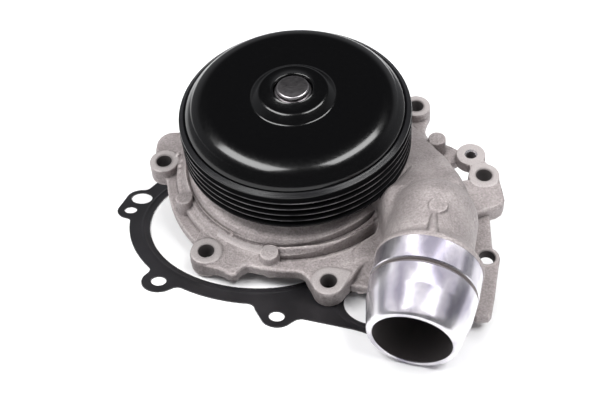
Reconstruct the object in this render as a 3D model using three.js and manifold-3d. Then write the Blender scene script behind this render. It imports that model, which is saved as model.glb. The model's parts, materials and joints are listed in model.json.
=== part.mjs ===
// Engine water pump: a cast aluminium housing with a belt pulley, a ball-and-roller shaft bearing,
// a mechanical seal, an open impeller and its loose flange gasket.
// Millimetres, +Z up. The pump lies on a bench, tipped forward on its outlet, its front lug and its
// impeller. Everything inside the "pump" group is written in the pump's own frame: its origin is
// the crossing of the shaft axis and the mounting face, and its +Z runs up the shaft to the pulley.
import * as THREE from 'three';
import { mergeVertices } from 'three/addons/utils/BufferGeometryUtils.js';
import Module from 'manifold-3d';

// ---- how the pump lies on the bench -------------------------------------------------------------
const LEAN_FORWARD = THREE.MathUtils.degToRad(17.4);
const LEAN_SIDE = THREE.MathUtils.degToRad(-7.4);
const ORIGIN_HEIGHT = 22.5;
const STANCE = new THREE.Vector2(-1.07, 26.38);
const GASKET_TURN = THREE.MathUtils.degToRad(-4.5);
const GASKET_SHIFT = new THREE.Vector2(-17.3, -8);

// ---- driving dimensions -------------------------------------------------------------------------
const GAP = 0.3;
const RUNNING_GAP = 0.8;
const RIB_PITCH = 3.56;
const RIB_COUNT = 5;
const RIB_DEPTH = 2.7;
const PULLEY_RADIUS = 49.6;
const PULLEY_BOTTOM = 24.5;
const PULLEY_MOUTH = 24;
const SHEET = 2.5;

const SHAFT_RADIUS = 7.95;
const SHAFT_TOP = 54.9;
const SHAFT_END_RADIUS = 7;
const HUB_TOP = 53.4;
const SHAFT_BOTTOM = -10;
const RING_OUTER_RADIUS = 15;
const RING_INNER_RADIUS = 12.95;
const RING_BOTTOM = 18.5;
const RING_TOP = 40.5;
const ROLLER_RADIUS = 2.3;
const BALL_COUNT = 8;
const ROLLER_COUNT = 10;
const BALL_HEIGHT = 34.6;
const ROLLER_HEIGHT = 25.6;
const ROLLER_LENGTH = 8;

const IMPELLER_RADIUS = 31.5;
const IMPELLER_BOTTOM = -12;
const VANE_COUNT = 7;

const PLATE_TOP = 4.4;
const SHELF_TOP = 8.2;
const RIDGE_TOP = 9.1;
const LUG_TOP = 7.8;
const BOSS_TOP = 8.6;
const STUD_TOP = 12.5;
const LUG_BOTTOM = 2.2;
const FRONT_BOTTOM = 2.6;
const ARM_BOTTOM = 3.4;
const BOLT_HOLE_RADIUS = 3.4;
const CUT = 1;
const WATERWAY = { x: -2.7, y: -1.8, radius: 48, depth: 5 };
const PORT = { x: 47.5, y: -57.5, radius: 12.6, depth: 21 };
const DOWEL_POCKET = { x: -57.3, y: 17.8, radius: 4.9, depth: 4.5 };
const GASKET_THICKNESS = 1;
const GASKET_DISC_RADIUS = 58.8;
const GASKET_WATERWAY = { x: -2.7, y: -0.9, radius: 47.7 };

const OUTLET_END = new THREE.Vector3(35.2, -107.2, 23.4);
const OUTLET_DIRECTION = new THREE.Vector3(-0.33, -0.944, 0).normalize();
const OUTLET_BORE_RADIUS = 15;

// Bolt holes through the flange, anticlockwise from the left.
const BOLTS = [
  { x: -61.2, y: 7.5, boss: 6.8, top: BOSS_TOP },
  { x: -42.5, y: -45.5, boss: 7.1, top: BOSS_TOP },
  { x: 7.35, y: -66.4, boss: 7, top: BOSS_TOP },
  { x: 73.8, y: -59.1, boss: 5.2, top: PLATE_TOP },
  { x: 79.9, y: -18.1, boss: 6.7, top: BOSS_TOP },
  { x: 56.5, y: 27.5, boss: 6.6, top: BOSS_TOP },
  { x: -14.5, y: 61, boss: 7, top: BOSS_TOP },
];
const GASKET_HOLE_RADIUS = 3.3;
const GASKET_PIN_HOLE_RADIUS = 2.9;
const TAPPED_BOSS = { x: 76.4, y: -5.4, boss: 6.4, radius: 2.5, bottom: 1.5 };
const STUDS = [[-51.4, -18.6, 3.6], [-15.9, -52.2, 3.9], [62.3, 2.4, 3.9]];

// The mounting outline: a disc, convex webs, each the hull of its circles [x, y, radius], and the
// thin strip beside the outlet, a polygon.
const FLANGE_DISC = { x: 0, y: 0, radius: 60.4 };
const FLANGE_WEBS = [
  [[-61, 7.2, 6.2], [-57.3, 17.8, 7], [-48, 12, 9]],
  [[-42.5, -45.5, 7.1], [-36, -38, 9]],
  [[7.35, -66.4, 6.8], [4, -52, 8], [16, -54, 8]],
  [[14, -57.5, 8.5], [48, -62.5, 12.5], [40, -40, 14]],
  [[62, 4, 4], [67, 2.2, 3], [71.5, -1.5, 2.6], [66, -5, 3]],
  [[56.5, 27.5, 6.6], [44, 18, 14]],
  [[-14.5, 61, 6.8], [-10, 48, 10]],
];
const STRIP = [
  [60, -25], [76, -34], [79, -38], [76.9, -55.5], [79.1, -59.8], [77.2, -66], [73.6, -78],
  [70.8, -86.2], [69.2, -87.8], [64.6, -87.6], [57, -80], [45, -74], [40, -60],
];
// The gasket follows the engine's own pad, so it also bridges the right-hand bolts.
const GASKET_WEBS = [
  [[48, -62.5, 12.5], [65.8, -84.3, 4.3], [72.6, -60, 6]],
  [[72.6, -60, 6], [48, -40, 14], [72, -45, 5.5], [78.9, -33.5, 6.2]],
  [[79.9, -18.1, 6.2], [78.9, -33.5, 6.2], [50, -28, 14]],
];

// Raised parts of the flange.
const SHELF_WEBS = [
  [[7.35, -66.4, 6.8], [4, -52, 8], [16, -54, 8]],
  [[-57.6, 18.6, 7.4], [-59.3, 12, 6], [-50, 16, 9]],
];
const LUG_WEBS = [
  [[-42.5, -45.5, 7], [-33, -50.5, 6], [-23, -47, 6], [-38, -38, 8]],
  [[-35.5, -50, 5], [-32, -54.4, 3.6], [-24, -50, 4.4], [-30, -42, 6]],
];
const FRONT_SECTOR = [[-20, -46], [-26, -56], [-26, -75], [30, -75], [42, -30], [20, -30]];
// The front of the flange is set back under its shelf.
const FRONT_FOOT = [[-36, -36], [-60, -80], [26, -80], [18, -40]];
const FOOT_RADIUS = 56.4;
const RIDGE = [[18.9, -57.6], [50, -57.6], [50, -40], [30, -40], [18.9, -52]];
const SLAB = [
  [64, -20], [64, -40.5], [72.9, -39], [77.6, -37.4], [82.4, -36.2], [85, -34.6], [86.3, -32.2],
  [86.4, -27], [86.2, -18], [80, -14], [73.2, -19],
];
const ARM = [[77.6, -8, 3.1], [79, -16, 4.4]];
const ARM_GAP = [[66.5, -5], [71, -4.5], [74.6, -7], [74.6, -17.4], [71.6, -19.2], [68, -17]];

// The volute's duct: its outline from above, and its roof line as [y, z].
const DUCT = [
  [54.5, 15], [57.9, 9], [61, -3], [63.9, -12], [66.7, -28], [67.8, -40], [67.2, -50],
  [63.5, -60], [58, -68], [38, -74], [32, -50], [30, -30], [18, 0], [30, 20],
];
const DUCT_ROOF = [[20, 0], [20, 5.2], [-36.6, 29], [-80, 29], [-80, 0]];
const ELBOW = { from: [51.8, -52.5, 22.3], to: [47.4, -65.8, 23.4], radius: 18 };
const ELBOW_COLUMN = { x: 47.6, y: -60, radius: 17 };

// ---- solids -------------------------------------------------------------------------------------
const wasm = await Module();
wasm.setup();

function solid(geometry) {
  const plain = geometry.clone();
  plain.deleteAttribute('normal');
  plain.deleteAttribute('uv');
  const merged = mergeVertices(plain, 1e-4);
  const index = merged.index.array;
  const triVerts = [];
  for (let i = 0; i < index.length; i += 3) {
    const [a, b, c] = [index[i], index[i + 1], index[i + 2]];
    if (a !== b && b !== c && c !== a) triVerts.push(a, b, c);
  }
  return new wasm.Manifold(new wasm.Mesh({
    numProp: 3,
    vertProperties: Float32Array.from(merged.attributes.position.array),
    triVerts: Uint32Array.from(triVerts),
  }));
}

function geometryOf(manifold) {
  const mesh = manifold.getMesh();
  const geometry = new THREE.BufferGeometry();
  geometry.setAttribute('position', new THREE.BufferAttribute(mesh.vertProperties, 3));
  geometry.setIndex(new THREE.BufferAttribute(mesh.triVerts, 1));
  geometry.computeVertexNormals();
  return geometry;
}

const joined = (solids) => solids.reduce((sum, item) => sum.add(item));
const cutBy = (body, tools) => tools.reduce((left, tool) => left.subtract(tool), body);

// A turned piece: profile points are [radius, height], and the profile closes on itself.
function turned(profile, segments = 24) {
  const points = profile.map(([radius, height]) => new THREE.Vector2(radius, height));
  const last = points[points.length - 1];
  const closed = points[0].x === 0 && last.x === 0;
  if (!closed) points.push(points[0].clone());
  return new THREE.LatheGeometry(points, segments).rotateX(Math.PI / 2);
}

const ringProfile = (inner, outer, bottom, top) => [
  [inner, bottom], [outer, bottom], [outer, top], [inner, top],
];
const ring = (inner, outer, bottom, top, segments) =>
  turned(ringProfile(inner, outer, bottom, top), segments);

// A round bar with ball ends, from one point to another.
function capsule(from, to, radius) {
  const start = new THREE.Vector3(...from);
  const span = new THREE.Vector3(...to).sub(start);
  const length = span.length();
  const steps = 6;
  const profile = [];
  for (let i = 0; i <= steps; i += 1) {
    const angle = (i / steps) * (Math.PI / 2);
    profile.push([radius * Math.sin(angle), -radius * Math.cos(angle)]);
  }
  for (let i = 0; i <= steps; i += 1) {
    const angle = (i / steps) * (Math.PI / 2);
    profile.push([radius * Math.cos(angle), length + radius * Math.sin(angle)]);
  }
  profile[0][0] = 0;
  profile[profile.length - 1][0] = 0;
  const toSpan = new THREE.Quaternion();
  toSpan.setFromUnitVectors(new THREE.Vector3(0, 0, 1), span.normalize());
  return turned(profile, 28).applyQuaternion(toSpan).translate(...from);
}

function post(x, y, radius, bottom, top, segments = 16) {
  const geometry = new THREE.CylinderGeometry(radius, radius, top - bottom, segments);
  return geometry.rotateX(Math.PI / 2).translate(x, y, (top + bottom) / 2);
}

function extruded(outline, bottom, top) {
  const geometry = new THREE.ExtrudeGeometry(new THREE.Shape(outline), {
    depth: top - bottom, bevelEnabled: false, steps: 1,
  });
  return geometry.translate(0, 0, bottom);
}

function polygonPlate(corners, bottom, top) {
  return extruded(corners.map(([x, y]) => new THREE.Vector2(x, y)), bottom, top);
}

// The plate under the tight outline round a few circles, from bottom to top.
function webPlate(circles, bottom, top) {
  const centre = new THREE.Vector2();
  circles.forEach(([x, y]) => centre.add(new THREE.Vector2(x, y)));
  centre.divideScalar(circles.length);
  const steps = 28;
  const outline = [];
  for (let i = 0; i < steps; i += 1) {
    const angle = (i / steps) * 2 * Math.PI;
    const direction = new THREE.Vector2(Math.cos(angle), Math.sin(angle));
    const reach = circles.map(([x, y, r]) => direction.x * x + direction.y * y + r);
    const [x, y, r] = circles[reach.indexOf(Math.max(...reach))];
    outline.push(new THREE.Vector2(x + r * direction.x, y + r * direction.y));
  }
  return extruded(outline, bottom, top);
}

const webSolids = (webs, bottom, top) => webs.map((web) => solid(webPlate(web, bottom, top)));

// ---- housing ------------------------------------------------------------------------------------
function outletTurned(profile, segments = 32) {
  const toOutlet = new THREE.Quaternion();
  toOutlet.setFromUnitVectors(new THREE.Vector3(0, 0, 1), OUTLET_DIRECTION);
  const geometry = turned(profile, segments).applyQuaternion(toOutlet);
  return geometry.translate(OUTLET_END.x, OUTLET_END.y, OUTLET_END.z);
}

// Heights here are counted back from the outlet's end face, so they are negative.
function outletBody() {
  return outletTurned([
    [0, -50], [14.5, -50], [17, -41], [19.6, -37], [21.4, -35.1], [21.4, -33.9], [21.3, -23.7],
    [19.9, -22.9], [19.8, -22.1], [21, -21.6], [20.5, -13.2], [18.35, -4], [17.7, -1.6],
    [16.6, 0], [0, 0],
  ]);
}

// The roofed duct round the volute, with the elbow that turns it into the outlet.
function outletDuct() {
  const reach = 200;
  const roof = extruded(DUCT_ROOF.map(([y, z]) => new THREE.Vector2(y, z)), 0, reach)
    .rotateX(Math.PI / 2).rotateZ(Math.PI / 2);
  const duct = solid(polygonPlate(DUCT, 0, ELBOW.from[2] + ELBOW.radius)).intersect(solid(roof));
  const floorLevel = solid(new THREE.BoxGeometry(reach, 2 * reach, reach)
    .translate(0, 0, -reach / 2));
  const elbow = solid(capsule(ELBOW.from, ELBOW.to, ELBOW.radius)).subtract(floorLevel);
  const { x, y, radius } = ELBOW_COLUMN;
  const column = solid(post(x, y, radius, 0, ELBOW.from[2], 28));
  const pulleySweep = solid(post(
    0, 0, PULLEY_RADIUS + RUNNING_GAP, PULLEY_MOUTH - RUNNING_GAP, SHAFT_TOP, 48));
  return joined([duct, elbow, column]).subtract(pulleySweep);
}

function carrierBody() {
  return solid(turned([
    [0, 2], [55.5, 2], [55.5, 6.9], [54.6, 7.9], [52.6, 7.6], [51.4, 11.6], [50.4, 12],
    [48.4, 13.8], [47.2, 14.7], [38, 17.9], [28, 20.9], [22.5, 26], [20.5, 32], [20.1, 40],
    [0, 40],
  ], 44));
}

const postSolid = (circle, radius, bottom, top, segments) =>
  solid(post(circle.x, circle.y, radius, bottom, top, segments));

function flangeSolids() {
  const disc = postSolid(FLANGE_DISC, FLANGE_DISC.radius, 0, PLATE_TOP, 44);
  const undercut = postSolid(FLANGE_DISC, FLANGE_DISC.radius + CUT, -CUT, FRONT_BOTTOM, 44)
    .subtract(postSolid(FLANGE_DISC, FOOT_RADIUS, -2 * CUT, FRONT_BOTTOM + CUT, 44))
    .intersect(solid(polygonPlate(FRONT_FOOT, -CUT, FRONT_BOTTOM)));
  const sector = postSolid(FLANGE_DISC, FLANGE_DISC.radius, FRONT_BOTTOM, SHELF_TOP, 44)
    .intersect(solid(polygonPlate(FRONT_SECTOR, FRONT_BOTTOM, SHELF_TOP)));
  return [
    disc.subtract(undercut), sector,
    ...webSolids(FLANGE_WEBS, 0, PLATE_TOP),
    ...webSolids(SHELF_WEBS, 0, SHELF_TOP),
    ...webSolids(LUG_WEBS, LUG_BOTTOM, LUG_TOP),
    ...webSolids([ARM], ARM_BOTTOM, BOSS_TOP),
    solid(polygonPlate(STRIP, 0, PLATE_TOP)),
    solid(polygonPlate(RIDGE, 0, RIDGE_TOP)),
    solid(polygonPlate(SLAB, 0, SHELF_TOP)),
  ];
}

function bossSolids() {
  return [
    ...BOLTS.map((bolt) => postSolid(bolt, bolt.boss, 0, bolt.top)),
    postSolid(TAPPED_BOSS, TAPPED_BOSS.boss, ARM_BOTTOM, BOSS_TOP),
    ...STUDS.map(([x, y, radius]) => solid(post(x, y, radius, 0, STUD_TOP, 14))),
  ];
}

function housingCuts() {
  const waterway = solid(turned([
    [0, -CUT], [WATERWAY.radius, -CUT], [WATERWAY.radius, WATERWAY.depth],
    [WATERWAY.radius - 3, 8.5], [30, 9.5], [18.4, 9.5], [18.4, 16.4], [14, 16.4], [14, 17.9],
    [RING_OUTER_RADIUS + GAP, 17.9], [RING_OUTER_RADIUS + GAP, 41], [0, 41],
  ], 44));
  const bore = solid(outletTurned([
    [0, -42], [10, -42], [OUTLET_BORE_RADIUS, -36], [OUTLET_BORE_RADIUS, CUT], [0, CUT],
  ], 24));
  return [
    waterway, bore,
    postSolid(WATERWAY, WATERWAY.radius, -CUT, WATERWAY.depth, 44),
    postSolid(PORT, PORT.radius, -CUT, PORT.depth, 24),
    postSolid(DOWEL_POCKET, DOWEL_POCKET.radius, -CUT, DOWEL_POCKET.depth, 16),
    ...BOLTS.map((bolt) => postSolid(bolt, BOLT_HOLE_RADIUS, -CUT, BOSS_TOP + CUT, 12)),
    postSolid(TAPPED_BOSS, TAPPED_BOSS.radius, TAPPED_BOSS.bottom, BOSS_TOP + CUT, 12),
  ];
}

function housingSolid() {
  const gap = solid(polygonPlate(ARM_GAP, -CUT, SHELF_TOP + CUT));
  const flange = joined([...flangeSolids(), carrierBody()]).subtract(gap);
  const body = joined([flange, ...bossSolids(), outletDuct(), solid(outletBody())]);
  return cutBy(body, housingCuts());
}

// ---- pulley and hub -----------------------------------------------------------------------------
function pulleyGeometry() {
  const root = PULLEY_RADIUS - RIB_DEPTH;
  const outside = [[PULLEY_RADIUS, PULLEY_MOUTH]];
  for (let i = 0; i < RIB_COUNT; i += 1) {
    const crest = PULLEY_BOTTOM + i * RIB_PITCH;
    outside.push([PULLEY_RADIUS, crest + 0.35]);
    outside.push([root, crest + 1.5]);
    outside.push([root, crest + RIB_PITCH - 1.5]);
    if (i < RIB_COUNT - 1) outside.push([PULLEY_RADIUS, crest + RIB_PITCH - 0.35]);
  }
  const rim = PULLEY_BOTTOM + RIB_COUNT * RIB_PITCH;
  outside.push([49.3, rim - 0.2], [47, rim + 1], [46.3, rim + 0.9], [45.2, rim + 2.6]);
  outside.push([43.8, rim + 4.8], [42.4, rim + 6.1], [40.4, rim + 7.2], [35.8, 50.1]);
  outside.push([20.6, 50.1], [19.3, 50.8], [17, 52.7], [15.2, HUB_TOP], [SHAFT_RADIUS + GAP, HUB_TOP]);
  const inside = [
    [SHAFT_RADIUS + GAP, HUB_TOP - SHEET], [14.6, HUB_TOP - SHEET], [14.8, 47.8], [37.5, 47.8],
    [40.8, 46.6], [43.2, 43], [43.6, PULLEY_MOUTH],
  ];
  return turned([...outside, ...inside], 40);
}

const HUB_UNDERSIDE = HUB_TOP - SHEET - GAP;
const pulleyHubGeometry = () => turned([
  [SHAFT_RADIUS + GAP, 42], [12.2, 42], [14.3, 44.6], [14.3, HUB_UNDERSIDE],
  [SHAFT_RADIUS + GAP, HUB_UNDERSIDE],
]);

// ---- shaft and bearing --------------------------------------------------------------------------
const shaftGeometry = () => turned([
  [0, SHAFT_BOTTOM], [SHAFT_RADIUS - 0.8, SHAFT_BOTTOM], [SHAFT_RADIUS, SHAFT_BOTTOM + 0.8],
  [SHAFT_RADIUS, SHAFT_TOP - 2.6], [SHAFT_END_RADIUS, SHAFT_TOP - 2.1],
  [SHAFT_END_RADIUS, SHAFT_TOP - 0.8], [SHAFT_END_RADIUS - 0.9, SHAFT_TOP], [0, SHAFT_TOP],
]);

const PITCH_RADIUS = (SHAFT_RADIUS + RING_INNER_RADIUS) / 2;

function ballGeometry(index) {
  const angle = (index / BALL_COUNT) * 2 * Math.PI;
  const ball = new THREE.SphereGeometry(ROLLER_RADIUS, 8, 6).rotateX(Math.PI / 2);
  return ball.translate(
    PITCH_RADIUS * Math.cos(angle), PITCH_RADIUS * Math.sin(angle), BALL_HEIGHT);
}

function rollerGeometry(index) {
  const angle = (index / ROLLER_COUNT) * 2 * Math.PI;
  const half = ROLLER_LENGTH / 2;
  return post(PITCH_RADIUS * Math.cos(angle), PITCH_RADIUS * Math.sin(angle), ROLLER_RADIUS,
    ROLLER_HEIGHT - half, ROLLER_HEIGHT + half, 8);
}

function cageSolid(count, height, halfLength, pocket) {
  let cage = solid(ring(9.6, 11.3, height - halfLength, height + halfLength, 24));
  for (let i = 0; i < count; i += 1) cage = cage.subtract(pocket(i));
  return cage;
}

function ballPocket(index) {
  const angle = (index / BALL_COUNT) * 2 * Math.PI;
  return solid(post(0, 0, ROLLER_RADIUS + GAP, -4, 4, 8)
    .rotateY(Math.PI / 2).rotateZ(angle)
    .translate(PITCH_RADIUS * Math.cos(angle), PITCH_RADIUS * Math.sin(angle), BALL_HEIGHT));
}

function rollerPocket(index) {
  const angle = (index / ROLLER_COUNT) * 2 * Math.PI;
  const width = 2 * (ROLLER_RADIUS + GAP);
  return solid(new THREE.BoxGeometry(8, width, ROLLER_LENGTH + 2 * GAP)
    .rotateZ(angle)
    .translate(PITCH_RADIUS * Math.cos(angle), PITCH_RADIUS * Math.sin(angle), ROLLER_HEIGHT));
}

// ---- seal and impeller --------------------------------------------------------------------------
const SEAL_CUP = [
  [12.6, 16.1], [12.6, 14.6], [16.9, 14.6], [16.9, 9.2], [19.6, 9.2], [19.6, 8.3], [18.1, 8.3],
  [18.1, 8.9], [18.1, 16.1],
];

function impellerSolid() {
  const disc = solid(turned([
    [SHAFT_RADIUS + GAP, IMPELLER_BOTTOM + 2.5], [12, IMPELLER_BOTTOM + 2.5], [14, -4],
    [IMPELLER_RADIUS, -2.2], [IMPELLER_RADIUS, 0], [14, 0.2], [SHAFT_RADIUS + GAP, 0.2],
  ], 28));
  const vanes = [];
  for (let i = 0; i < VANE_COUNT; i += 1) {
    const points = [];
    const back = [];
    for (let step = 0; step <= 5; step += 1) {
      const t = step / 5;
      const radius = THREE.MathUtils.lerp(12.6, IMPELLER_RADIUS - 0.4, t);
      const angle = (i / VANE_COUNT) * 2 * Math.PI - 0.95 * t;
      const width = 1.1 / radius;
      points.push(new THREE.Vector2(
        radius * Math.cos(angle - width), radius * Math.sin(angle - width)));
      back.unshift(new THREE.Vector2(
        radius * Math.cos(angle + width), radius * Math.sin(angle + width)));
    }
    const shape = new THREE.Shape([...points, ...back]);
    const vane = new THREE.ExtrudeGeometry(shape, {
      depth: -1 - IMPELLER_BOTTOM, bevelEnabled: false, steps: 1,
    });
    vanes.push(solid(vane.translate(0, 0, IMPELLER_BOTTOM)));
  }
  return joined([disc, ...vanes]);
}

// ---- gasket -------------------------------------------------------------------------------------
function gasketSolid() {
  const top = GASKET_THICKNESS;
  const disc = postSolid(FLANGE_DISC, GASKET_DISC_RADIUS, 0, top, 44);
  const sheet = joined([disc, ...webSolids([...FLANGE_WEBS, ...GASKET_WEBS], 0, top)]);
  const through = (circle, radius, segments) =>
    postSolid(circle, radius, -CUT, top + CUT, segments);
  return cutBy(sheet, [
    through(GASKET_WATERWAY, GASKET_WATERWAY.radius, 44),
    through(PORT, PORT.radius, 24),
    through(DOWEL_POCKET, DOWEL_POCKET.radius, 16),
    ...BOLTS.map((bolt, i) =>
      through(bolt, i === 0 ? GASKET_PIN_HOLE_RADIUS : GASKET_HOLE_RADIUS, 12)),
  ]);
}

// ---- materials and assembly ---------------------------------------------------------------------
const finish = (color, roughness, metalness) => ({ color, roughness, metalness });
const CAST = finish(0xb4adaa, 0.55, 0.85);
const BLACK_PAINT = finish(0x0c0c0d, 0.18, 0.2);
const STEEL = finish(0x8d8a8c, 0.3, 0.95);
const RUBBER = finish(0x1a1a1b, 0.7, 0);
const NYLON = finish(0xc9b98e, 0.5, 0);
const CARBON = finish(0x2b2b2d, 0.45, 0.1);
const CERAMIC = finish(0xd9d4c8, 0.35, 0);
const PLASTIC = finish(0x23211f, 0.45, 0);
const GASKET_COAT = finish(0x2a292d, 0.4, 0.1);

function piece(name, geometry, look) {
  const mesh = new THREE.Mesh(geometry, new THREE.MeshStandardMaterial(look));
  mesh.name = name;
  return mesh;
}
const solidPiece = (name, body, look) => piece(name, geometryOf(body), look);
const turnedPiece = (name, geometry, look) => solidPiece(name, solid(geometry), look);

const pump = new THREE.Group();
pump.rotation.set(LEAN_FORWARD, LEAN_SIDE, 0);
pump.position.set(STANCE.x, STANCE.y, ORIGIN_HEIGHT);
pump.add(
  solidPiece('housing_casting', housingSolid(), CAST),
  turnedPiece('pulley', pulleyGeometry(), BLACK_PAINT),
  turnedPiece('pulley_hub', pulleyHubGeometry(), STEEL),
  turnedPiece('shaft', shaftGeometry(), STEEL),
  turnedPiece('bearing_outer_ring', ring(RING_INNER_RADIUS, RING_OUTER_RADIUS,
    RING_BOTTOM, RING_TOP, 28), STEEL),
  turnedPiece('bearing_seal_front', ring(8.5, 12.6, RING_TOP - 1.6, RING_TOP - 0.3, 20), RUBBER),
  turnedPiece('bearing_seal_rear', ring(8.5, 12.6, RING_BOTTOM + 0.3, RING_BOTTOM + 1.6, 20), RUBBER),
  solidPiece('ball_cage', cageSolid(BALL_COUNT, BALL_HEIGHT, 3.3, ballPocket), NYLON),
  solidPiece('roller_cage', cageSolid(ROLLER_COUNT, ROLLER_HEIGHT, 5, rollerPocket), NYLON),
  turnedPiece('seal_cup', turned(SEAL_CUP, 24), STEEL),
  turnedPiece('seal_bellows', ring(12, 16.6, 10.4, 14.3, 20), RUBBER),
  turnedPiece('seal_spring', ring(12.4, 15.6, 7.3, 10.1, 20), STEEL),
  turnedPiece('seal_carbon_ring', ring(9.2, 12.1, 4.3, 9.8, 20), CARBON),
  turnedPiece('seal_mating_ring', ring(SHAFT_RADIUS + GAP, 13, 0.5, 4, 20), CERAMIC),
  turnedPiece('slinger', ring(SHAFT_RADIUS + GAP, 11.6, 16.5, 17.5, 20), STEEL),
  solidPiece('impeller', impellerSolid(), PLASTIC),
);
for (let i = 0; i < BALL_COUNT; i += 1) {
  pump.add(turnedPiece(`bearing_ball_${i + 1}`, ballGeometry(i), STEEL));
}
for (let i = 0; i < ROLLER_COUNT; i += 1) {
  pump.add(turnedPiece(`bearing_roller_${i + 1}`, rollerGeometry(i), STEEL));
}

const gasket = solidPiece('gasket', gasketSolid(), GASKET_COAT);
gasket.rotation.z = GASKET_TURN;
gasket.position.set(STANCE.x + GASKET_SHIFT.x, STANCE.y + GASKET_SHIFT.y, 0);

const waterPump = new THREE.Group();
waterPump.add(pump, gasket);

export default waterPump;
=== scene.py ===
"""Engine water pump on its loose flange gasket: the looks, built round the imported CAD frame.

Lengths are millimetres in the pump's own frame unless a name ends in _m. That frame stands on the
crossing of the shaft axis and the mounting face, with +Z up the shaft to the pulley.
"""

import json
import math

import bmesh
import bpy
import numpy as np
from mathutils import Matrix, Vector


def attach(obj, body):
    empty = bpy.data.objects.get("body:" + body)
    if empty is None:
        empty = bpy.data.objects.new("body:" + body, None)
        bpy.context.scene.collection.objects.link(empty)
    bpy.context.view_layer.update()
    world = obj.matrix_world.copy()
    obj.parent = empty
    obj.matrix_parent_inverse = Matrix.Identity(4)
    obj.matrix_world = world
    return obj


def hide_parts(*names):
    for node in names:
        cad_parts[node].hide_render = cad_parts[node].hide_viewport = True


MM = 0.001

# ---- driving dimensions --------------------------------------------------------------------------
RIB_PITCH = 3.56
RIB_COUNT = 5
RIB_DEPTH = 2.9
PULLEY_RADIUS = 49.6
PULLEY_BOTTOM = 24.5
RUNNING_GAP = 0.8
SHAFT_RADIUS = 7.95
SHAFT_TOP = 54.9

PLATE_TOP = 4.4
SHELF_TOP = 8.2
BOSS_TOP = 8.6
BOLT_HOLE_RADIUS = 3.4
LINER_RADIUS = 4.1
# Round openings and posts are [x, y, radius].
WATERWAY = (-2.7, -1.8, 48.0)
PORT = (47.5, -57.5, 12.6)
DOWEL_POCKET = (-57.3, 17.8, 4.9)
OUTLET_END = np.array([35.2, -107.2, 23.4])
OUTLET_DIRECTION = np.array([-0.330, -0.944, 0.0])
OUTLET_BORE = 15.0
SPIGOT_SEAT = 34.8
BEARING_BORE = 15.1

GASKET_TURN = math.radians(-4.5)
GASKET_SHIFT = (-17.3, -8.0)
GASKET_LOW, GASKET_HIGH = 0.02, 0.72
BEAD_HEIGHT, BEAD_WIDTH, BEAD_SET_BACK = 0.26, 0.55, 3.0
GASKET_HOLE, LOCATING_HOLE = 3.3, 2.9

# Flange bolts [x, y, boss radius, top], from the left, anticlockwise.
BOLTS = [
    (-61.2, 7.5, 6.6, 8.6), (-42.5, -45.5, 6.7, 8.6), (7.35, -66.4, 6.8, 8.6),
    (73.8, -59.1, 5.2, 4.4), (79.9, -18.1, 6.7, 8.6), (56.5, 27.5, 6.6, 8.6),
    (-14.5, 61.0, 7.0, 8.6),
]
LEFT_BOLT, FRONT_BOLT = 0, 2
TAPPED_BOSS = (76.4, -5.4, 6.4)
TAPPED_RADIUS = 2.8
STUDS = [(-51.4, -18.6, 3.6), (-15.9, -52.2, 3.9), (62.3, 2.4, 3.9)]
STUD_TOP = 12.5

FLANGE_DISC = (0, 0, 60.4)
GASKET_DISC = (-1.0, 0.8, 59.4)
GASKET_WATERWAY = (-3.2, -0.9, 47.8)
# Flat webs that tie each boss to the disc, as hulls round circles [x, y, radius].
FLANGE_WEBS = [
    [(-61, 7.2, 6.2), (-57.3, 17.8, 7), (-48, 12, 9)],
    [(-42.5, -45.5, 7.2), (-36, -38, 9)],
    [(7.35, -66.4, 6.6), (4, -52, 8), (16, -54, 8)],
    [(14, -57.5, 8.5), (48, -62.5, 12.5), (40, -40, 14)],
    [(48, -62.5, 12.5), (65.8, -84.3, 4.3), (72.6, -60, 6)],
    [(72.6, -60, 6), (48, -40, 14), (72, -45, 5.5), (78.9, -33.5, 6.2)],
    [(79.9, -18.1, 6.2), (78.9, -33.5, 6.2), (50, -28, 14)],
    [(56.5, 27.5, 6.6), (44, 18, 14)],
    [(-14.5, 61, 6.8), (-10, 48, 10)],
]
TAPPED_WEB = [(62, 4, 4), (67, 2.2, 3), (71.5, -1.5, 2.6), (66, -5, 3)]

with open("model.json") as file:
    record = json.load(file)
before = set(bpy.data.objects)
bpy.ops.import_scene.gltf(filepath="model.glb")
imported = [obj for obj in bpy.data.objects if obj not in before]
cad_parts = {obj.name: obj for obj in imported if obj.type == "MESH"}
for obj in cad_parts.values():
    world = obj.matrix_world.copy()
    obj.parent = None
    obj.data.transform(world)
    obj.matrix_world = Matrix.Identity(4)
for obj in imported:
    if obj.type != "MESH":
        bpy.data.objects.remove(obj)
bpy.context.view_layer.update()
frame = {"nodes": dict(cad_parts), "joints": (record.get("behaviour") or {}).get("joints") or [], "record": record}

# ---- the pump's frame, from its own hinge --------------------------------------------------------
spin = next(j for j in frame["joints"] if j["name"] == "shaft_spin")
shaft_line = Vector(spin["axis"])
lean_side = math.asin(shaft_line.x)
lean_forward = math.atan2(-shaft_line.y, shaft_line.z)
PUMP = (
    Matrix.Translation(spin["pos_m"])
    @ Matrix.Rotation(lean_forward, 4, "X")
    @ Matrix.Rotation(lean_side, 4, "Y")
)
STANCE = PUMP.translation.to_2d()
GASKET = Matrix.Translation((
    STANCE.x + GASKET_SHIFT[0] * MM, STANCE.y + GASKET_SHIFT[1] * MM, 0,
)) @ Matrix.Rotation(GASKET_TURN, 4, "Z")


def outlet_matrix():
    """The outlet's own frame: +Z out of its mouth, +Y up, standing on the middle of its end."""
    out = Vector(OUTLET_DIRECTION).normalized()
    up = Vector((0, 0, 1))
    side = up.cross(out)
    turn = Matrix((side, up, out)).transposed().to_4x4()
    return PUMP @ Matrix.Translation(Vector(OUTLET_END) * MM) @ turn


OUTLET = outlet_matrix()


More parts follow.
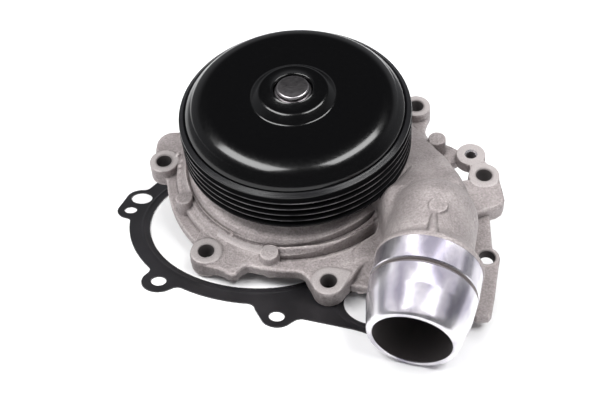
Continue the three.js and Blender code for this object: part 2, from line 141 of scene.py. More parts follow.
# ---- distance fields -----------------------------------------------------------------------------
def smooth_union(a, b, soft):
    """Two shapes joined with a fillet about as wide as soft."""
    h = np.clip(0.5 + 0.5 * (b - a) / soft, 0, 1)
    return b + (a - b) * h - soft * h * (1 - h)


def smooth_cut(a, tool, soft):
    """A shape less a tool, with the new edge rounded."""
    return -smooth_union(-a, tool, soft)


def prism(flat, z, low, high, edge=0.7):
    """A flat outline's distance carried up from low to high, with rounded edges."""
    side = flat + edge
    cap = np.abs(z - (low + high) / 2) - (high - low) / 2 + edge
    outside = np.hypot(np.maximum(side, 0), np.maximum(cap, 0))
    return np.minimum(np.maximum(side, cap), 0) + outside - edge


def disc(p, circle):
    """Distance in plan to a circle [x, y, radius]."""
    return np.hypot(p[:, 0] - circle[0], p[:, 1] - circle[1]) - circle[2]


def hull(p, circles, directions=48, near=7.0):
    """Distance to the tight outline round a few circles, exact near it."""
    circles = np.array(circles, float)
    middle = circles[:, :2].mean(0)
    reach = (np.linalg.norm(circles[:, :2] - middle, axis=1) + circles[:, 2]).max()
    distance = np.hypot(p[:, 0] - middle[0], p[:, 1] - middle[1]) - reach
    close = distance < near
    x, y = p[close, 0], p[close, 1]
    best = np.full(x.shape, -1e9)
    for turn in np.linspace(0, 2 * math.pi, directions, endpoint=False):
        c, s = math.cos(turn), math.sin(turn)
        support = (circles[:, 0] * c + circles[:, 1] * s + circles[:, 2]).max()
        np.maximum(best, x * c + y * s - support, out=best)
    distance[close] = best
    return distance


def capsule(p, a, b, ra, rb):
    """A tapered round bar from a to b."""
    a, b = np.array(a, float), np.array(b, float)
    span = np.linalg.norm(b - a)
    along = (b - a) / span
    q = p - a
    y = q @ along
    x = np.sqrt(np.maximum((q * q).sum(1) - y * y, 0))
    k = (ra - rb) / span
    c = math.sqrt(1 - k * k)
    t = c * y - k * x
    distance = c * x + k * y - ra
    distance = np.where(t < 0, np.hypot(x, y) - ra, distance)
    return np.where(t > c * span, np.hypot(x, y - span) - rb, distance)


def polygon(x, y, corners):
    """Signed distance to a closed outline."""
    corners = np.array(corners, float)
    best = np.full(x.shape, 1e18)
    inside = np.zeros(x.shape, bool)
    for (ax, ay), (bx, by) in zip(corners, np.roll(corners, -1, axis=0)):
        ex, ey = bx - ax, by - ay
        t = np.clip(((x - ax) * ex + (y - ay) * ey) / (ex * ex + ey * ey), 0, 1)
        best = np.minimum(best, (x - ax - t * ex) ** 2 + (y - ay - t * ey) ** 2)
        if ey:
            crosses = ((ay > y) != (by > y)) & (x < ax + ex * (y - ay) / ey)
            inside ^= crosses
    return np.where(inside, -1, 1) * np.sqrt(best)


def boss(p, circle, top, low=-3.0, draft=0.035, edge=0.45):
    """An upright post that widens a little towards its foot, as a casting's does."""
    flat = disc(p, circle) - draft * np.maximum(top - p[:, 2], 0)
    return prism(flat, p[:, 2], low, top, edge)


# ---- meshing a distance field --------------------------------------------------------------------
def sample(field, points, batch=400000):
    """The field at many points, a batch at a time to save memory."""
    parts = [field(points[i:i + batch]) for i in range(0, len(points), batch)]
    return np.concatenate(parts) if parts else np.zeros(0)


def field_grid(field, low, size, cell, block=6):
    """The field on a grid, worked out in full only in blocks near the surface."""
    counts = [-(-n // block) for n in size]
    index = np.indices(counts).reshape(3, -1).T
    middles = low + (index * block + (block - 1) / 2) * cell
    rough = sample(field, middles)
    reach = 0.5 * cell * block * math.sqrt(3) * 1.15
    values = np.repeat(rough, block ** 3).reshape(-1, block, block, block)
    active = np.abs(rough) < reach
    inner = np.indices((block,) * 3).reshape(3, -1).T
    points = (index[active][:, None] * block + inner).reshape(-1, 3)
    values[active] = sample(field, low + points * cell).reshape(-1, block, block, block)
    values = values.reshape(*counts, block, block, block).transpose(0, 3, 1, 4, 2, 5)
    shape = [c * block for c in counts]
    return values.reshape(shape)[:size[0], :size[1], :size[2]]


def gradient(field, points, step=0.04):
    """The field's unit slope at each point, which is the surface's normal there."""
    slopes = []
    for axis in np.eye(3) * step:
        slopes.append(sample(field, points + axis) - sample(field, points - axis))
    normal = np.stack(slopes, 1)
    return normal / np.maximum(np.linalg.norm(normal, axis=1, keepdims=True), 1e-9)


def contour(field, low, high, cell):
    """Vertices and quads on the field's zero surface, with its sharp edges kept sharp."""
    low = np.array(low, float)
    size = [int(math.ceil((h - l) / cell)) + 1 for l, h in zip(low, high)]
    values = field_grid(field, low, size, cell)
    inside = values < 0
    strides = np.array([size[1] * size[2], size[2], 1])
    hits, quads, cells_hit = [], [], []
    for axis in range(3):
        first = [slice(None)] * 3
        second = [slice(None)] * 3
        first[axis] = slice(0, -1)
        second[axis] = slice(1, None)
        v0, v1 = values[tuple(first)], values[tuple(second)]
        where = np.argwhere(inside[tuple(first)] != inside[tuple(second)])
        others = [i for i in range(3) if i != axis]
        where = where[(where[:, others] > 0).all(1)]
        a = v0[tuple(where.T)]
        t = a / (a - v1[tuple(where.T)])
        point = low + where * cell
        point[:, axis] += t * cell
        hits.append(point)
        base = where @ strides
        u, v = strides[others[0]], strides[others[1]]
        ring = np.stack([base - u - v, base - v, base, base - u], 1)
        cells_hit.append(ring)
        flip = (a < 0) if axis != 1 else (a >= 0)
        quads.append(np.where(flip[:, None], ring, ring[:, ::-1]))
    points = np.concatenate(hits)
    ring = np.concatenate(cells_hit)
    normals = gradient(field, points)
    used, owner = np.unique(ring.reshape(-1), return_inverse=True)
    owner = owner.reshape(-1)
    count = len(used)
    point4 = np.repeat(points, 4, axis=0)
    normal4 = np.repeat(normals, 4, axis=0)
    weight = np.bincount(owner, minlength=count)
    middle = np.stack([np.bincount(owner, point4[:, i], count) for i in range(3)], 1)
    middle /= weight[:, None]
    offset = ((point4 - middle[owner]) * normal4).sum(1)
    right = np.stack([np.bincount(owner, normal4[:, i] * offset, count) for i in range(3)], 1)
    matrix = np.empty((count, 3, 3))
    for i in range(3):
        for j in range(3):
            matrix[:, i, j] = np.bincount(owner, normal4[:, i] * normal4[:, j], count)
    matrix += np.eye(3) * 0.06
    shift = np.linalg.solve(matrix, right[:, :, None])[:, :, 0]
    corner = low + np.stack(np.unravel_index(used, size), 1) * cell
    vertices = np.clip(middle + shift, corner - 0.1 * cell, corner + 1.1 * cell)
    faces = np.searchsorted(used, np.concatenate(quads))
    return vertices, faces


# ---- mesh building -------------------------------------------------------------------------------
def mesh_from(name, vertices, faces, parts=None, sharp=38):
    """A mesh from quads in millimetres; parts gives each face's material number."""
    mesh = bpy.data.meshes.new(name)
    mesh.vertices.add(len(vertices))
    mesh.vertices.foreach_set("co", (np.asarray(vertices) * MM).astype(np.float32).ravel())
    mesh.loops.add(faces.size)
    mesh.loops.foreach_set("vertex_index", faces.astype(np.int32).ravel())
    mesh.polygons.add(len(faces))
    corners = faces.shape[1]
    mesh.polygons.foreach_set("loop_start", np.arange(0, faces.size, corners, dtype=np.int32))
    if parts is not None:
        mesh.polygons.foreach_set("material_index", np.asarray(parts, np.int32))
    mesh.polygons.foreach_set("use_smooth", np.ones(len(faces), bool))
    mesh.update(calc_edges=True)
    mesh.validate()
    mesh.set_sharp_from_angle(angle=math.radians(sharp))
    return mesh


def piece(name, mesh, place, body, materials, nodes=()):
    """A named object that rides on a body and stands for the CAD nodes given."""
    for material in materials:
        mesh.materials.append(material)
    mesh.transform(place)
    obj = bpy.data.objects.new(name, mesh)
    bpy.context.scene.collection.objects.link(obj)
    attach(obj, body)
    if nodes:
        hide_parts(*nodes)
    return obj


def arc(centre, radius, start, end, steps=8):
    """Points on a round corner, from one angle to another, in degrees."""
    turns = np.radians(np.linspace(start, end, steps + 1))
    return [(centre[0] + radius * math.cos(t), centre[1] + radius * math.sin(t)) for t in turns]


def bend(start, tilt, last_tilt, radius, steps):
    """A profile curve from a point; tilts are of its outward normal from the axis, in degrees."""
    first, *rest = np.radians(np.linspace(tilt, last_tilt, steps + 1))
    return [(start[0] + radius * (math.sin(t) - math.sin(first)),
             start[1] + radius * (math.cos(t) - math.cos(first))) for t in rest]


def turned_mesh(name, profile, segments=160, parts=None, sharp=38):
    """A turned piece from [radius, height] points; an open profile starts and ends on the axis."""
    profile = np.array(profile, float)
    closed = not (profile[0, 0] == 0 and profile[-1, 0] == 0)
    count = len(profile)
    turns = np.linspace(0, 2 * math.pi, segments, endpoint=False)
    x = profile[:, 0][None] * np.cos(turns)[:, None]
    y = profile[:, 0][None] * np.sin(turns)[:, None]
    z = np.broadcast_to(profile[:, 1][None], x.shape)
    vertices = np.stack([x, y, z], 2).reshape(-1, 3)
    steps = count if closed else count - 1
    i = np.arange(segments)[:, None]
    j = np.arange(steps)[None]
    k = (j + 1) % count
    n = (i + 1) % segments
    faces = np.stack([i * count + j, n * count + j, n * count + k, i * count + k], 2)
    faces = faces.reshape(-1, 4)
    if parts is not None:
        parts = np.tile(np.asarray(parts)[:steps], segments)
    mesh = mesh_from(name, vertices, faces, parts, sharp)
    if not closed:
        merge_poles(mesh)
        mesh.set_sharp_from_angle(angle=math.radians(sharp))
    return mesh


def merge_poles(mesh):
    """Joins the points that a turned mesh repeats where it meets its axis."""
    bm = bmesh.new()
    bm.from_mesh(mesh)
    bmesh.ops.remove_doubles(bm, verts=bm.verts, dist=1e-7)
    bm.to_mesh(mesh)
    bm.free()


# ---- materials -----------------------------------------------------------------------------------
def material(name, color, metallic=0.0, roughness=0.5, **sockets):
    """A Principled material; other sockets are given by name, with _ for each space."""
    mat = bpy.data.materials.new(name)
    mat.use_nodes = True
    shader = mat.node_tree.nodes["Principled BSDF"]
    shader.inputs["Base Color"].default_value = (*color, 1)
    shader.inputs["Metallic"].default_value = metallic
    shader.inputs["Roughness"].default_value = roughness
    for key, value in sockets.items():
        shader.inputs[key.replace("_", " ")].default_value = value
    return mat


class Nodes:
    """Short names for wiring one material's nodes."""

    def __init__(self, mat, place=None):
        """With a place, the texture coordinates are those of that frame."""
        self.tree = mat.node_tree
        self.shader = self.tree.nodes["Principled BSDF"]
        self.coords = self.add("ShaderNodeTexCoord").outputs["Object"]
        if place:
            back = place.inverted()
            node = self.add("ShaderNodeMapping")
            node.inputs["Rotation"].default_value = back.to_euler()
            node.inputs["Location"].default_value = back.translation
            self.link(self.coords, node.inputs["Vector"])
            self.coords = node.outputs["Vector"]

    def add(self, kind, **settings):
        node = self.tree.nodes.new(kind)
        for key, value in settings.items():
            setattr(node, key, value)
        return node

    def link(self, source, target):
        self.tree.links.new(source, target)

    def noise(self, scale, detail=4.0, roughness=0.5, vector=None):
        node = self.add("ShaderNodeTexNoise")
        node.inputs["Scale"].default_value = scale
        node.inputs["Detail"].default_value = detail
        node.inputs["Roughness"].default_value = roughness
        self.link(vector or self.coords, node.inputs["Vector"])
        return node.outputs["Fac"]

    def math(self, operation, a, b=None, c=None):
        node = self.add("ShaderNodeMath", operation=operation)
        for socket, value in zip(node.inputs, (a, b, c)):
            if value is None:
                continue
            if isinstance(value, (int, float)):
                socket.default_value = value
            else:
                self.link(value, socket)
        return node.outputs[0]

    def ramp(self, value, stops):
        node = self.add("ShaderNodeValToRGB")
        elements = node.color_ramp.elements
        while len(elements) < len(stops):
            elements.new(0.5)
        for element, (place, color) in zip(elements, stops):
            element.position = place
            element.color = (*color, 1)
        self.link(value, node.inputs["Fac"])
        return node.outputs["Color"]

    def span(self, value, low, high):
        """The value, which runs from 0 to 1, spread from low to high."""
        node = self.add("ShaderNodeMapRange")
        node.inputs["To Min"].default_value = low
        node.inputs["To Max"].default_value = high
        self.link(value, node.inputs["Value"])
        return node.outputs["Result"]

    def stretched(self, scale):
        node = self.add("ShaderNodeMapping")
        node.inputs["Scale"].default_value = scale
        self.link(self.coords, node.inputs["Vector"])
        return node.outputs["Vector"]

    def polar(self):
        """Radius, turn and height about the frame's Z axis."""
        split = self.add("ShaderNodeSeparateXYZ")
        self.link(self.coords, split.inputs[0])
        x, y, z = split.outputs
        radius = self.math("SQRT", self.math("ADD", self.math("MULTIPLY", x, x),
                                             self.math("MULTIPLY", y, y)))
        return radius, self.math("ARCTAN2", y, x), z

    def tool_marks(self, fineness, sweep):
        """Fine turned lines round the frame's Z axis; sweep sets how soon they change round it."""
        radius, turn, z = self.polar()
        marks = self.add("ShaderNodeCombineXYZ")
        self.link(self.math("MULTIPLY", radius, fineness), marks.inputs[0])
        self.link(self.math("MULTIPLY", turn, sweep), marks.inputs[1])
        self.link(self.math("MULTIPLY", z, fineness), marks.inputs[2])
        return self.noise(1.0, detail=2, vector=marks.outputs[0])

    def bump(self, height, strength, distance, normal=None):
        node = self.add("ShaderNodeBump")
        node.inputs["Strength"].default_value = strength
        node.inputs["Distance"].default_value = distance
        self.link(height, node.inputs["Height"])
        if normal:
            self.link(normal, node.inputs["Normal"])
        self.link(node.outputs["Normal"], self.shader.inputs["Normal"])
        return node.outputs["Normal"]


def cast_aluminium():
    mat = material("cast_aluminium", (0.6, 0.56, 0.55), metallic=0.5, roughness=0.5)
    n = Nodes(mat)
    cloud = n.noise(60, detail=5, roughness=0.6)
    grain = n.noise(1100, detail=3, roughness=0.7)
    mixed = n.math("ADD", n.math("MULTIPLY", cloud, 0.45), n.math("MULTIPLY", grain, 0.55))
    color = n.ramp(mixed, [(0.32, (0.18, 0.156, 0.155)), (0.5, (0.315, 0.281, 0.279)),
                           (0.68, (0.47, 0.427, 0.422))])
    # Pointiness darkens concave grooves and lightens convex edges: the darker grooves are painted shade, and the
    # lighter edges are partly edge wear and partly painted highlight.
    edges = n.add("ShaderNodeNewGeometry").outputs["Pointiness"]
    wear_and_painted_relief = n.ramp(edges, [(0.44, (0.45, 0.44, 0.44)), (0.49, (0.94, 0.94, 0.94)),
                          (0.51, (1, 1, 1)), (0.57, (1.4, 1.4, 1.4))])
    shade_highlight_wear_mix = n.add("ShaderNodeMix", data_type="RGBA", blend_type="MULTIPLY")
    shade_highlight_wear_mix.inputs["Factor"].default_value = 1
    n.link(color, shade_highlight_wear_mix.inputs["A"])
    n.link(wear_and_painted_relief, shade_highlight_wear_mix.inputs["B"])
    n.link(shade_highlight_wear_mix.outputs["Result"], n.shader.inputs["Base Color"])
    n.link(n.span(grain, 0.41, 0.6), n.shader.inputs["Roughness"])
    coarse = n.bump(n.noise(420, detail=3), 0.3, 0.0003)
    n.bump(grain, 1.0, 0.0005, coarse)
    return mat


def machined_aluminium():
    mat = material("machined_aluminium", (0.6, 0.57, 0.56), metallic=0.4, roughness=0.52)
    n = Nodes(mat)
    fine = n.noise(2500, detail=2)
    n.link(n.ramp(fine, [(0.3, (0.31, 0.281, 0.278)), (0.7, (0.41, 0.376, 0.372))]),
           n.shader.inputs["Base Color"])
    n.bump(fine, 0.25, 0.00006)
    return mat


def polished_aluminium():
    mat = material("polished_aluminium", (0.83, 0.82, 0.84), metallic=0.8, roughness=0.24)
    n = Nodes(mat, OUTLET)
    smear = n.noise(75, detail=5, vector=n.stretched((1, 1, 0.5)))
    color = n.ramp(smear, [(0.36, (0.4, 0.38, 0.45)), (0.5, (0.66, 0.64, 0.68)),
                           (0.62, (0.86, 0.84, 0.86))])
    n.link(color, n.shader.inputs["Base Color"])
    n.link(n.span(smear, 0.18, 0.3), n.shader.inputs["Roughness"])
    n.bump(n.tool_marks(9000, 0.6), 0.12, 0.00004)
    return mat


def painted_bore_shade():
    """Rough metal darkened to paint the shade of a deep hole into its colour."""
    mat = material("bore_shadow", (0.07, 0.062, 0.062), metallic=0.2, roughness=0.8)
    n = Nodes(mat)
    n.bump(n.noise(900), 0.3, 0.0002)
    return mat


def black_paint():
    mat = material("black_gloss_paint", (0.0008, 0.0008, 0.0009), roughness=0.12,
                   Specular_IOR_Level=0.43)
    n = Nodes(mat)
    ripple = n.noise(45, detail=3)
    dust = n.noise(700, detail=2)
    n.link(n.span(dust, 0.1, 0.2), n.shader.inputs["Roughness"])
    n.bump(ripple, 0.12, 0.0004)
    return mat


def black_turned():
    mat = material("black_turned_band", (0.004, 0.004, 0.0045), roughness=0.2,
                   Specular_IOR_Level=0.3)
    n = Nodes(mat, PUMP)
    n.bump(n.tool_marks(6000, 0.5), 0.5, 0.00008)
    return mat


def rib_black():
    mat = material("black_rib_paint", (0.003, 0.003, 0.0032), roughness=0.42,
                   Specular_IOR_Level=0.0)
    n = Nodes(mat)
    n.bump(n.noise(600), 0.2, 0.00008)
    return mat


def rib_crest():
    mat = material("worn_rib_crest", (0.05, 0.048, 0.05), metallic=0.6, roughness=0.3)
    n = Nodes(mat)
    wear_and_painted_relief = n.noise(90, detail=5)
    n.link(n.ramp(wear_and_painted_relief, [(0.35, (0.03, 0.03, 0.032)), (0.7, (0.17, 0.163, 0.17))]),
           n.shader.inputs["Base Color"])
    return mat


def ground_steel():
    mat = material("ground_steel", (0.36, 0.34, 0.35), metallic=1.0, roughness=0.3)
    n = Nodes(mat)
    streak = n.noise(1.0, detail=3, vector=n.stretched((400, 3200, 3200)))
    n.link(n.ramp(streak, [(0.3, (0.25, 0.235, 0.245)), (0.7, (0.42, 0.4, 0.41))]),
           n.shader.inputs["Base Color"])
    n.link(n.span(streak, 0.22, 0.4), n.shader.inputs["Roughness"])
    n.bump(streak, 0.15, 0.00005)
    return mat


def gasket_coating():
    mat = material("gasket_coating", (0.028, 0.027, 0.031), roughness=0.42)
    n = Nodes(mat)
    fine = n.noise(1800, detail=2)
    n.link(n.ramp(n.noise(50), [(0.35, (0.011, 0.0104, 0.0118)), (0.65, (0.021, 0.0197, 0.0225))]),
           n.shader.inputs["Base Color"])
    n.link(n.span(fine, 0.3, 0.42), n.shader.inputs["Roughness"])
    n.bump(fine, 0.2, 0.00004)
    return mat


def plain(name, color, metallic, roughness, scale=900, depth=0.00008):
    mat = material(name, color, metallic=metallic, roughness=roughness)
    n = Nodes(mat)
    fine = n.noise(scale, detail=3)
    low = tuple(c * 0.85 for c in color)
    high = tuple(min(c * 1.15, 1) for c in color)
    n.link(n.ramp(fine, [(0.3, low), (0.7, high)]), n.shader.inputs["Base Color"])
    n.link(n.span(fine, roughness * 0.85, min(roughness * 1.2, 1)), n.shader.inputs["Roughness"])
    n.bump(fine, 0.3, depth)
    return mat


CAST = cast_aluminium()
MACHINED = machined_aluminium()
POLISHED = polished_aluminium()
BORE_SHADE_PAINT = painted_bore_shade()
PAINT = black_paint()
BAND = black_turned()
RIB = rib_black()
CREST = rib_crest()
STEEL = ground_steel()
GASKET_COAT = gasket_coating()
STAINLESS = plain("stainless_sheet", (0.55, 0.54, 0.55), 1.0, 0.32)
RUBBER = plain("seal_rubber", (0.025, 0.025, 0.026), 0.0, 0.6)
CARBON = plain("seal_carbon", (0.05, 0.05, 0.055), 0.0, 0.4)
CERAMIC = plain("seal_ceramic", (0.78, 0.74, 0.67), 0.0, 0.3)
PLASTIC = plain("impeller_plastic", (0.03, 0.028, 0.026), 0.0, 0.42)
NYLON = plain("cage_nylon", (0.66, 0.57, 0.38), 0.0, 0.5)


# ---- housing -------------------------------------------------------------------------------------
HOUSING_BOX = (-73, -90, -1.2), (89.5, 71.5, 48)
# The bearing carrier's profile, [distance from the axis, height].
CARRIER = [
    (0, 2), (55.4, 2), (55.4, 6.9), (54.9, 7.9), (53.5, 8.2), (52.2, 9.4), (51.3, 11.5),
    (50.8, 12.0), (50.1, 11.2), (49.5, 11.2), (48.3, 13.8), (47.0, 14.6), (38, 17.8),
    (28, 20.8), (22.4, 26), (20.4, 32), (20.0, 40), (0, 40),
]
REAR_LOBE = [(-57.6, 18.6, 7.4), (-59.3, 12, 6), (-50, 16, 9)]
LEFT_SHELF = [(-42.5, -45.5, 7.0), (-33, -50.5, 6), (-23, -47, 6), (-38, -38, 8)]
LUG = [(-41, -47), (-39.8, -49.6), (-35.8, -52.8), (-32.6, -55.8), (-31.6, -56.3),
       (-30.6, -55), (-28, -52.9), (-24.8, -51.7), (-20, -49.6), (-30, -40)]
# The lug and the front shelf end above the mounting face, and the plate under them is set back.
LUG_CORNER = 2.4
LUG_FOOT = 2.2
FRONT_FOOT = 2.6
FOOT_SET_BACK = 4
FRONT_SECTOR = [(-20, -46), (-26, -56), (-26, -75), (30, -75), (42, -30), (20, -30)]
FRONT_BOSS = [(7.35, -66.4, 6.8), (15.7, -63.0, 0.9)]
FRONT_BOSS_WEB = [(7.35, -66.4, 6.8), (4, -52, 8), (16, -54, 8)]
RIDGE = [(18.9, -57.6), (50, -57.6), (50, -40), (30, -40), (18.9, -52)]
SLAB = [(64, -20), (64, -40.5), (72.9, -39.0), (77.6, -37.4), (82.4, -36.2), (85.0, -34.6),
        (86.3, -32.2), (86.4, -27), (86.2, -18), (80, -14), (73.2, -19)]
STRIP = [(60, -25), (76, -34), (79.0, -38), (76.9, -55.5), (79.1, -59.8), (77.2, -66),
         (73.6, -78), (70.8, -86.2), (69.2, -87.8), (64.6, -87.6), (57, -80), (45, -74),
         (40, -60)]
ARM = [(77.6, -8, 3.1), (79, -16, 4.4)]
ARM_GAP = [(67.6, -6), (71.4, -5.6), (74.3, -8), (74.3, -16.8), (71.4, -18.2), (69, -16)]
ARM_FOOT = 3.4
ROOF = [(54.5, 15), (57.9, 9), (61.0, -3), (63.9, -12), (66.7, -28), (67.8, -40),
        (67.2, -50), (63.5, -60), (58, -68), (38, -74), (32, -50), (30, -30), (18, 0), (30, 20)]
ROOF_LIMIT = 29
ROOF_FOOT, ROOF_BACK, ROOF_SLOPE = 8.6, 12, 0.42
ROOF_COSINE = 0.922
FLANK_DRAFT = 0.13
ELBOW = (51.8, -52.5, 22.3), (47.4, -65.8, 23.4), 17.9, 18.2
GUSSET = (49.6, -62.6, 40.9), (47.4, -72.5, 43.4), 1.0, 2.0
PORT_SLEEVE = (47.6, -60, 15.5)
MARK = (52.0, -58.5, 3.7)
MARK_TOP = 41.5
# The ring that the spigot stands on, [distance from the outlet's axis, distance out of its mouth].
OUTLET_RING = [(0, -50), (14.5, -50), (17, -41), (19.6, -37), (21.2, -35.6), (21.4, -35.1),
               (21.4, -34.2), (21.2, -33.9), (0, -33.9)]
# The two grooves at the carrier's foot: radius, half width, middle and half sweep in degrees.
INNER_GROOVE = 48.0, 0.75, -102, 58
OUTER_GROOVE = 52.2, 1.3, -67, 36
INNER_GROOVE_FLOOR = 10.4
OUTER_GROOVE_FLOOR = SHELF_TOP - 1.8
# A band of the carrier's wall given the lighter machined finish as a painted highlight: radii, lowest height,
# middle, half sweep.
BAND_HIGHLIGHT_PAINT = 51.3, 53.7, 8.4, -120, 15
FRONT_SET_BACK_MIDDLE, FRONT_SET_BACK_SWEEP, FRONT_SET_BACK_FADE = -97, 34, 8
NUBS = [(-54.9, 10.3), (-52.7, 6.6), (-53.7, 3.6), (-53.7, 0.5)]


def rim_channels(x, y, z):
    """The two grooves that run round the bearing carrier's foot, either side of its lip."""
    turn = np.degrees(np.arctan2(y, x))
    reach = disc(np.stack([x, y], 1), (*WATERWAY[:2], 0))
    radius, half_width, middle, sweep = INNER_GROOVE
    inner = np.maximum(np.abs(reach - radius) - half_width, INNER_GROOVE_FLOOR - z)
    inner = np.maximum(inner, np.abs(turn - middle) - sweep)
    radius, half_width, middle, sweep = OUTER_GROOVE
    # The outer groove grows wider and deeper along its length.
    along = np.clip((turn - middle + sweep) / 50, 0, 1)
    outer = np.abs(reach - radius + 0.4 * along) - half_width - 0.3 * along
    outer = np.maximum(outer, OUTER_GROOVE_FLOOR - 2.9 * along * along - z)
    outer = np.maximum(outer, np.abs(turn - middle) - sweep)
    return np.minimum(inner, outer)


def duct_field(p):
    """The volute's duct, its elbow and the ring that the outlet spigot stands on."""
    x, y, z = p.T
    flank = polygon(x, y, ROOF) - FLANK_DRAFT * np.clip(14 - z, 0, 14)
    slope = (z - ROOF_FOOT - ROOF_SLOPE * (ROOF_BACK - y)) * ROOF_COSINE
    roof = np.maximum(slope, z - ROOF_LIMIT)
    duct = smooth_cut(flank, -roof, 6)
    sweep = np.maximum(np.hypot(x, y) - PULLEY_RADIUS - RUNNING_GAP, PULLEY_BOTTOM - 1.3 - z)
    duct = smooth_cut(duct, sweep, 2)
    duct = smooth_union(duct, capsule(p, *ELBOW), 2.2)
    duct = smooth_union(duct, prism(disc(p, PORT_SLEEVE), z, -3, 20, 3), 3)
    duct = smooth_union(duct, prism(disc(p, MARK), z, 30, MARK_TOP, 0.35), 0.5)
    duct = smooth_union(duct, capsule(p, *GUSSET), 0.4)
    along, across = outlet_reach(p)
    return smooth_union(duct, polygon(across, along, OUTLET_RING) - 0.25, 0.8)


def outlet_reach(p):
    """Distance along the outlet's axis, counted out of its mouth, and across it."""
    offset = p - OUTLET_END
    along = offset @ (OUTLET_DIRECTION / np.linalg.norm(OUTLET_DIRECTION))
    return along, np.sqrt(np.maximum((offset ** 2).sum(1) - along ** 2, 0))


def shelf_field(p):
    """The flange plate and everything that stands on it at shelf height."""
    x, y, z = p.T
    turn = np.degrees(np.arctan2(y, x))
    off_front = np.abs(turn - FRONT_SET_BACK_MIDDLE)
    in_front = np.clip((FRONT_SET_BACK_SWEEP - off_front) / FRONT_SET_BACK_FADE, 0, 1)
    flat = disc(p, FLANGE_DISC) + FOOT_SET_BACK * in_front
    for web in FLANGE_WEBS[:3] + FLANGE_WEBS[-2:]:
        flat = smooth_union(flat, hull(p, web), 3)
    for web in FLANGE_WEBS[3:4] + [TAPPED_WEB]:
        flat = np.minimum(flat, hull(p, web))
    flat = np.minimum(flat, polygon(x, y, STRIP))
    body = prism(flat, z, -3, PLATE_TOP, 0.9)
    sector = np.maximum(disc(p, FLANGE_DISC), polygon(x, y, FRONT_SECTOR))
    front = smooth_union(sector, hull(p, FRONT_BOSS_WEB), 5)
    body = np.minimum(body, prism(front, z, FRONT_FOOT, SHELF_TOP, 1.1))
    left = prism(hull(p, LEFT_SHELF), z, LUG_FOOT, SHELF_TOP - 0.3, 0.9)
    lug = prism(polygon(x, y, LUG) - LUG_CORNER, z, LUG_FOOT, SHELF_TOP - 0.4, 1.2)
    body = smooth_union(body, smooth_union(left, lug, 0.8), 0.8)
    body = smooth_union(body, prism(hull(p, REAR_LOBE), z, -3, 7.8, 1.0), 0.8)
    slope = polygon(x, y + 1.2 * np.maximum(SHELF_TOP + 0.9 - z, 0), RIDGE) * 0.64
    body = smooth_union(body, prism(slope, z, -3, SHELF_TOP + 0.9, 0.9), 0.8)
    body = smooth_union(body, prism(polygon(x, y, SLAB), z, -3, SHELF_TOP, 1.3), 0.5)
    return smooth_union(body, prism(hull(p, ARM), z, ARM_FOOT, BOSS_TOP, 0.5), 0.8)


def housing_field(p):
    """The whole casting, apart from the turned pieces set in it."""
    x, y, z = p.T
    rho = np.hypot(x, y)
    body = shelf_field(p)
    body = smooth_union(body, polygon(rho, z, CARRIER) - 0.25, 0.4)
    body = np.maximum(body, -rim_channels(x, y, z))
    gap = prism(polygon(x, y, ARM_GAP), z, -4, SHELF_TOP + 2, 0.5)
    body = smooth_cut(body, gap, 0.8)
    body = smooth_union(body, duct_field(p), 3)
    for i, (bx, by, radius, top) in enumerate(BOLTS):
        if i == FRONT_BOLT:
            post = prism(hull(p, FRONT_BOSS), z, -3, top, 0.5)
        else:
            post = boss(p, (bx, by, radius), top)
        body = smooth_union(body, post, 0.6)
    body = smooth_union(body, boss(p, TAPPED_BOSS, BOSS_TOP, low=ARM_FOOT), 0.6)
    for circle in STUDS:
        body = smooth_union(body, boss(p, circle, STUD_TOP, edge=0.4), 0.7)
    for nx, ny in NUBS:
        nub = np.sqrt((x - nx) ** 2 + (y - ny) ** 2 + (z - 8.1) ** 2) - 1.2
        body = smooth_union(body, nub, 0.6)
    body = smooth_union(body, capsule(p, (-54.0, -1.5, 7.9), (-52.9, -14.5, 7.9), 0.35, 0.35), 0.8)
    return np.maximum(np.maximum(body, -z), -hollows(p, rho))


def hollows(p, rho):
    """Everything that is open inside the casting."""
    z = p[:, 2]
    cavity = np.maximum(disc(p, WATERWAY), z - 5)
    inner = polygon(rho, z, [(0, -2), (47.5, -2), (47.5, 5), (44, 8.5), (30, 9.5), (18.4, 9.5),
                             (18.4, 16.4), (14, 16.4), (14, 17.9), (BEARING_BORE, 17.9),
                             (BEARING_BORE, 42), (0, 42)])
    empty = smooth_union(cavity, inner, 0.5)
    empty = np.minimum(empty, np.maximum(disc(p, PORT), z - 21))
    along, across = outlet_reach(p)
    bore = np.maximum(across - OUTLET_BORE, np.maximum(-42 - along, along - 2))
    socket = np.maximum(across - 18.2, np.maximum(-SPIGOT_SEAT - along, along - 2))
    empty = np.minimum(empty, np.minimum(bore, socket))
    for x, y, *_ in BOLTS:
        empty = np.minimum(empty, disc(p, (x, y, LINER_RADIUS)))
    tapped = np.maximum(disc(p, (*TAPPED_BOSS[:2], TAPPED_RADIUS)), 1.5 - z)
    dowel = np.maximum(disc(p, DOWEL_POCKET), z - 4)
    return np.minimum(empty, np.minimum(tapped, dowel))


